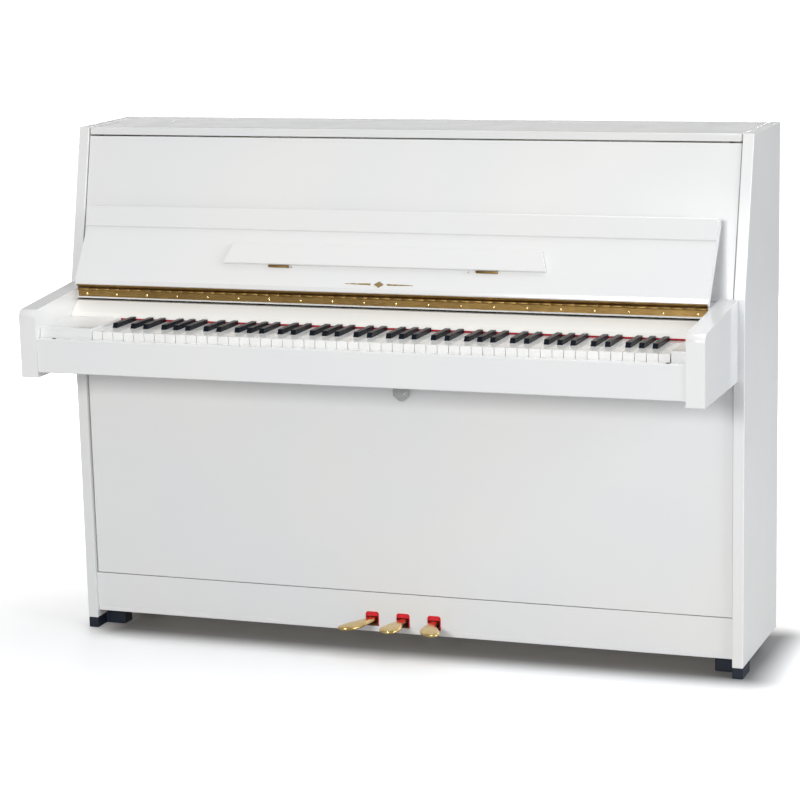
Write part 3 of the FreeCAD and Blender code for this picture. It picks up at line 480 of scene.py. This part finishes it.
def superellipse(centre, half_x, half_z, power, count=28):
    """A ring in the X-Z plane, rounder for a power near 2 and squarer above it."""
    ring = []
    for index in range(count):
        angle = math.tau * index / count
        across, high = math.cos(angle), math.sin(angle)
        ring.append(centre + Vector((
            half_x * math.copysign(abs(across) ** (2 / power), across), 0,
            half_z * math.copysign(abs(high) ** (2 / power), high))))
    return ring


# ---------------------------------------------------------------- pedals

PEDAL_SIDES = {"left": -1, "middle": 0, "right": 1}
SPLAY, NECK_Y, TIP_Y = 28 * MM, -20 * MM, -120 * MM
SPLAY_POWER, LEAF_RISE = 1.4, 3.0
# the bar behind the leaf: where its rings lie, half width (mm) along it and at its end, squareness
BAR_ENDS, BAR_HALF, BAR_END_HALF, BAR_POWER = (0.06, NECK_Y + 0.006), 9, 8.2, 8
# distance ahead of the neck, half width, half thickness (mm), squareness
LEAF = ((0, 9, 4.5, 5), (12, 9, 4.5, 4.5), (24, 10.5, 4.5, 4), (36, 13.6, 4.5, 3.4),
        (48, 17.2, 4.5, 3), (60, 20.2, 4.5, 2.8), (70, 21.7, 4.5, 2.8), (78, 22, 4.5, 2.8),
        (85, 20.8, 4.4, 2.7), (91, 18, 4.2, 2.6), (95.5, 14, 3.8, 2.5), (98.5, 9, 3.1, 2.4),
        (99.8, 3, 1.6, 2.2))


def make_pedal(side):
    """A brass leaf with a crowned top and round rim, on a square bar that runs back to the pivot."""
    node = f"pedal_{side}"
    rear_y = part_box(node)[1].y
    pivot = Vector(JOINTS[f"pedal_{side}_press"]["pos_m"])
    rings = []
    for y in (rear_y, rear_y - 0.002, *BAR_ENDS):
        half = BAR_END_HALF if y == rear_y else BAR_HALF
        rings.append(superellipse(Vector((pivot.x, y, pivot.z)), half * MM, half / 2 * MM, BAR_POWER))
    for ahead, half_wide, half_thick, power in LEAF:
        share = ahead * MM / (NECK_Y - TIP_Y)
        rise = LEAF_RISE * MM * min(1, 2 * share)
        across = PEDAL_SIDES[side] * SPLAY * share ** SPLAY_POWER
        centre = Vector((pivot.x + across, NECK_Y - ahead * MM, pivot.z + rise))
        rings.append(superellipse(centre, half_wide * MM, half_thick * MM, power))
    mesh = bmesh.new()
    skin(mesh, rings)
    data = finished(mesh, "loft")
    piece = add_object(f"pedal_leaf_{side}", data, "pedal_brass", f"pedal_{side}")
    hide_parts(node)


# ---------------------------------------------------------------- small fittings

# a screw head's rings from rim to crown: how far out and how high, as shares of radius and thickness
HEAD_PROFILE = ((1.0, 0.0), (1.0, 0.35), (0.86, 0.8), (0.55, 1.0), (0.02, 1.06))
HEAD_POINTS = 20
NOTCH_HEIGHT, NOTCH_COSINE, NOTCH_INNER = 0.55, 0.93, 0.5


def disc_head(mesh, centre, facing, radius, thick):
    """A slotted screw head: a low domed disc with a straight slot, facing a direction."""
    facing = facing.normalized()
    side = facing.orthogonal().normalized()
    other = facing.cross(side)
    rings = []
    for spread, rise in HEAD_PROFILE:
        ring = []
        for index in range(HEAD_POINTS):
            angle = math.tau * index / HEAD_POINTS
            across = side * math.cos(angle) + other * math.sin(angle)
            notched = abs(math.cos(angle)) > NOTCH_COSINE and spread > NOTCH_INNER
            height = NOTCH_HEIGHT if notched else 1.0
            ring.append(centre + across * radius * spread + facing * thick * rise * height)
        rings.append(ring)
    skin(mesh, rings)


def heads_object(name, places, facing, radius, thick, look, body):
    mesh = bmesh.new()
    for place in places:
        disc_head(mesh, place, facing, radius, thick)
    return add_object(name, finished(mesh, name), look, body)


def make_hinge_screws():
    """The screws of the long hinge's fixed leaf, one under every other gap."""
    low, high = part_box("hinge_fixed_leaf")
    count, margin, leaf_thick, above_edge = 20, 0.02, 1.6 * MM, 0.0055
    step = (high.x - low.x - 2 * margin) / (count - 1)
    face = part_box("fall_shelf")[0].y - leaf_thick
    places = [Vector((low.x + margin + index * step, face, low.z + above_edge)) for index in range(count)]
    heads_object("hinge_screws", places, Vector((0, -1, 0)), radius=0.0027, thick=0.0007,
                 look="bright_brass", body="case")


COVER_HINGE = Vector(JOINTS["key_cover_hinge"]["pos_m"])
OPEN_ANGLE = 130
OPENED = Matrix.Rotation(math.radians(-OPEN_ANGLE), 3, "X")
# the closed cover's underside: how far it starts ahead of the hinge and below it, and its slope from there
UNDER_START, UNDER_DROP, UNDER_SLOPE = 12 * MM, 18 * MM, 15 / 124


def on_cover(x, ahead, proud):
    """A point on the open key cover: ahead of the hinge and proud of the inner face."""
    closed = Vector((0, -ahead, -UNDER_DROP - (ahead - UNDER_START) * UNDER_SLOPE - proud))
    point = COVER_HINGE + OPENED @ closed
    return Vector((x, point.y, point.z))


def cover_normal():
    return (on_cover(0, 0.05, 0.01) - on_cover(0, 0.05, 0.0)).normalized()


# the inlay: its distance ahead of the hinge, how proud of the face and how deep in it
INLAY_AHEAD, INLAY_PROUD, INLAY_SUNK = 0.0215, 0.0006, -0.0004
LOZENGE = ((-0.011, 0), (0, -0.007), (0.011, 0), (0, 0.007))
LINE_START, LINE_END, LINE_WIDE, LINE_NARROW = 0.018, 0.074, 0.0019, 0.0005


def inlay_plate(mesh, outline):
    top = [mesh.verts.new(on_cover(x, INLAY_AHEAD + rise, INLAY_PROUD)) for x, rise in outline]
    foot = [mesh.verts.new(on_cover(x, INLAY_AHEAD + rise, INLAY_SUNK)) for x, rise in outline]
    mesh.faces.new(top)
    mesh.faces.new(foot[::-1])
    for index in range(len(outline)):
        following = (index + 1) % len(outline)
        mesh.faces.new((foot[index], foot[following], top[following], top[index]))


def make_inlay():
    """A plain brass inlay on the key cover: a lozenge between two tapering lines."""
    mesh = bmesh.new()
    inlay_plate(mesh, LOZENGE)
    for hand in (-1, 1):
        start, end = hand * LINE_START, hand * LINE_END
        inlay_plate(mesh, ((start, -LINE_WIDE), (end, -LINE_NARROW), (end, LINE_NARROW), (start, LINE_WIDE)))
    data = finished(mesh, "cover_inlay")
    add_object("cover_inlay", data, "bright_brass", "key_cover", smooth=False)


def make_ledge_studs():
    """Two small studs beside the ledge's hinges."""
    places = [on_cover(x, 0.0545, 0.0) for x in (-0.1995, 0.188)]
    heads_object("ledge_studs", places, cover_normal(), radius=0.0023, thick=0.0022,
                 look="grey_stud", body="key_cover")


def make_slip_screws():
    """A dark screw near each end of the key slip's top edge."""
    low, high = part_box("key_slip")
    from_end = 0.037
    places = [Vector((hand * (high.x - from_end), (low.y + high.y) / 2, high.z)) for hand in (-1, 1)]
    heads_object("slip_screws", places, Vector((0, 0, 1)), radius=0.0042, thick=0.0012,
                 look="dark_steel", body="case")


# ---------------------------------------------------------------- studio

# corners of the floor patch that the painted contact shadow lies under, and how far and how strongly it fades
SHADE_LOW, SHADE_HIGH = Vector((-0.66, -0.01, 0)), Vector((0.75, 0.30, 0))
SHADE_REACH, SHADE_LEVELS = (-0.02, 0.11), (0.16, 1.22)
# how far from the middle the floor starts and ends to glow towards white, and how strongly
GLOW_REACH, GLOW_LEVELS = (0.75, 2.6), (0.02, 0.96)


def painted_contact_shadow(shader):
    """The floor's brightness: a painted contact shadow, dark under the case and full a hand's width outside its
    footprint.
    """
    half = (SHADE_HIGH - SHADE_LOW) / 2 + Vector((0, 0, 1))
    outside = shader.vectors("SUBTRACT", shader.place, (SHADE_LOW + SHADE_HIGH) / 2)
    outside = shader.vectors("ABSOLUTE", outside)
    outside = shader.vectors("SUBTRACT", outside, half)
    outside = shader.vectors("MAXIMUM", outside, (0, 0, 0))
    gap = shader.vectors("LENGTH", outside, result="Value")
    return shader.smooth_range(gap, SHADE_REACH, SHADE_LEVELS)


def make_floor():
    """A pale floor that fades into white with distance; it looks paler than the light it throws back."""
    bpy.ops.mesh.primitive_plane_add(size=80, location=(0, 0, 0))
    floor = bpy.context.object
    floor.name = "floor"
    shader = Shader("floor", Roughness=0.7)
    seen = shader.add("ShaderNodeLightPath").outputs["Is Camera Ray"]
    patches = shader.noise(0.6, 2)
    thrown = shader.ramp(patches, [(0.3, (0.48, 0.48, 0.485)), (0.7, (0.50, 0.50, 0.505))])
    looks = shader.ramp(patches, [(0.3, (0.97, 0.97, 0.975)), (0.7, (0.99, 0.99, 0.995))])
    # the colour the camera sees is scaled by the painted contact shadow under and around the case
    shaded = shader.add("ShaderNodeVectorMath", operation="SCALE")
    shader.link(looks, shaded.inputs[0])
    shader.link(painted_contact_shadow(shader), shaded.inputs["Scale"])
    shader.colour(shader.mix(seen, thrown, shaded.outputs["Vector"]))
    away = shader.vectors("LENGTH", shader.place, result="Value")
    glow = shader.smooth_range(away, GLOW_REACH, GLOW_LEVELS)
    strength = shader.add("ShaderNodeMath", operation="MULTIPLY")
    shader.link(seen, strength.inputs[0])
    shader.link(glow, strength.inputs[1])
    shader.principled.inputs["Emission Color"].default_value = (1, 1, 1, 1)
    shader.link(strength.outputs["Value"], shader.principled.inputs["Emission Strength"])
    floor.data.materials.append(shader.material)


def area_light(name, place, target, size, power, colour=(1, 1, 1)):
    data = bpy.data.lights.new(name, "AREA")
    data.shape = "RECTANGLE"
    data.size, data.size_y = size
    data.energy = power
    data.color = colour
    light = bpy.data.objects.new(name, data)
    light.location = place
    light.rotation_mode = "QUATERNION"
    light.rotation_quaternion = (Vector(target) - Vector(place)).to_track_quat("-Z", "Y")
    COLLECTION.objects.link(light)


WORLD_LIGHT = 0.40


def make_world():
    """White to the camera, and a dimmer even light for everything else."""
    world = bpy.data.worlds.new("studio")
    world.use_nodes = True
    tree = world.node_tree
    level = tree.nodes.new("ShaderNodeMapRange")
    level.inputs["To Min"].default_value = WORLD_LIGHT
    level.inputs["To Max"].default_value = 1.0
    tree.links.new(tree.nodes.new("ShaderNodeLightPath").outputs["Is Camera Ray"], level.inputs["Value"])
    tree.links.new(level.outputs["Result"], tree.nodes["Background"].inputs["Strength"])
    tree.nodes["Background"].inputs["Color"].default_value = (1, 1, 1, 1)
    bpy.context.scene.world = world
    bpy.context.scene.view_settings.view_transform = "Standard"


def make_studio():
    """A key light in front, a strong fill at the right, and weaker lights above, at the left and behind."""
    area_light("key", (0.15, -5.2, 2.0), (0, 0, 0.6), (1.2, 0.8), 131)
    area_light("fill_right", (4.6, -0.6, 2.3), (0.5, 0, 0.85), (2.5, 2.5), 130, (0.93, 0.965, 1))
    area_light("top", (0.6, 0.5, 4.2), (0, 0, 0.5), (2.4, 1.8), 32)
    area_light("left", (-4.4, 1.4, 1.4), (-0.7, 0, 0.6), (2, 2), 40)
    area_light("back", (-1.5, 4.5, 0.8), (0, 0, 0.7), (3, 1), 70)
    make_world()


make_camera()
MATERIALS.update(make_materials())
finish_cad_nodes()
for pedal_side in PEDAL_SIDES:
    make_pedal(pedal_side)
make_hinge_screws()
make_inlay()
make_ledge_studs()
make_slip_screws()
make_floor()
make_studio()
